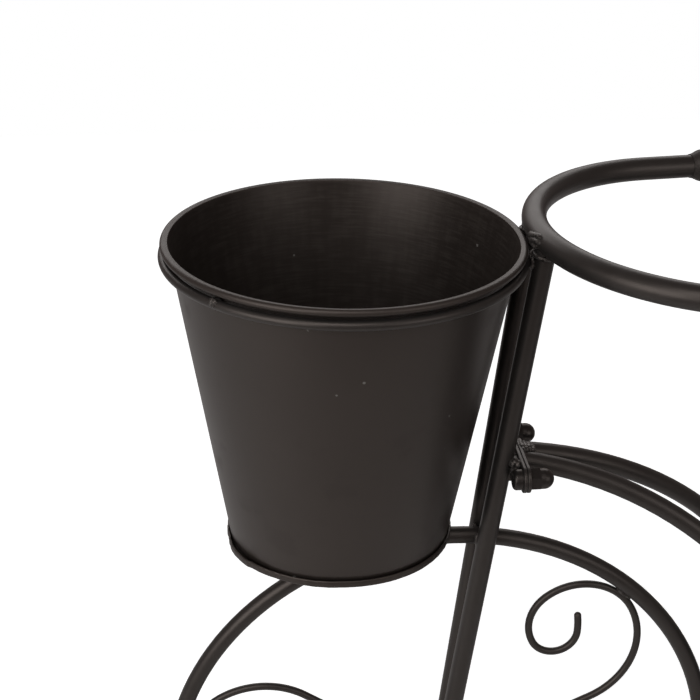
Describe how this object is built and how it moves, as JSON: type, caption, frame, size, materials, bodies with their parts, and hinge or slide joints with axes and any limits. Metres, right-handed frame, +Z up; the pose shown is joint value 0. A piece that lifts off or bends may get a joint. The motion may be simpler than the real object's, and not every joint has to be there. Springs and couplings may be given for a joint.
{
  "type": "bicycle plant stand",
  "caption": "Plant stand shaped like a bicycle: bent steel rods, a large scrolled front wheel, small rear wheels, and round tapered pots that lift out of rings",
  "frame": {"origin": "on the ground under the middle of the whole stand", "axes": "+X from the front wheel back to the tail, +Y across to the left side of the stand, +Z up"},
  "size_m": [0.7254, 0.219, 0.4529],
  "materials": {
    "rod_coat": "satin black powder coat on steel rod",
    "pot_coat": "satin warm black paint on thin sheet steel",
    "fastener_black": "black oxide bolts and cap nuts",
    "grip_plastic": "matte black moulded sleeve"
  },
  "bodies": {
    "stand": {"fork_plate": "rod_coat", "fork_rod_left": "rod_coat", "fork_rod_right": "rod_coat", "frame_plate": "rod_coat", "frame_rod_left": "rod_coat", "frame_rod_right": "rod_coat", "front_hub": "rod_coat", "front_pot_ring": "rod_coat", "front_ring_lug": "rod_coat", "front_wheel_ring": "rod_coat", "front_wheel_scroll_1": "rod_coat", "front_wheel_scroll_2": "rod_coat", "front_wheel_scroll_3": "rod_coat", "grip_left": "grip_plastic", "grip_right": "grip_plastic", "handlebar_tube": "rod_coat", "middle_pot_ring": "rod_coat", "plate_bolts": "fastener_black", "plate_cap_nuts": "fastener_black", "rail_cross_bar": "rod_coat", "rear_axle": "rod_coat", "rear_hub_left": "rod_coat", "rear_hub_right": "rod_coat", "rear_pot_ring": "rod_coat", "rear_stay_left": "rod_coat", "rear_stay_right": "rod_coat", "rear_wheel_ring_left": "rod_coat", "rear_wheel_ring_right": "rod_coat", "rear_wheel_scroll_left_1": "rod_coat", "rear_wheel_scroll_left_2": "rod_coat", "rear_wheel_scroll_left_3": "rod_coat", "rear_wheel_scroll_right_1": "rod_coat", "rear_wheel_scroll_right_2": "rod_coat", "rear_wheel_scroll_right_3": "rod_coat", "tail_hoop": "rod_coat"},
    "front_pot": {"front_pot_wall": "pot_coat", "front_pot_base": "pot_coat"},
    "middle_pot": {"middle_pot_wall": "pot_coat", "middle_pot_base": "pot_coat"},
    "rear_pot": {"rear_pot_wall": "pot_coat", "rear_pot_base": "pot_coat"}
  },
  "joints": [
    {"name": "front_pot_lift", "type": "slide", "parent": "stand", "child": "front_pot", "axis": [-0.1219, 0, 0.9925], "range_m": [0, 0.16]},
    {"name": "middle_pot_lift", "type": "slide", "parent": "stand", "child": "middle_pot", "axis": [0, 0, 1], "range_m": [0, 0.16]},
    {"name": "rear_pot_lift", "type": "slide", "parent": "stand", "child": "rear_pot", "axis": [0, 0, 1], "range_m": [0, 0.16]}
  ]
}
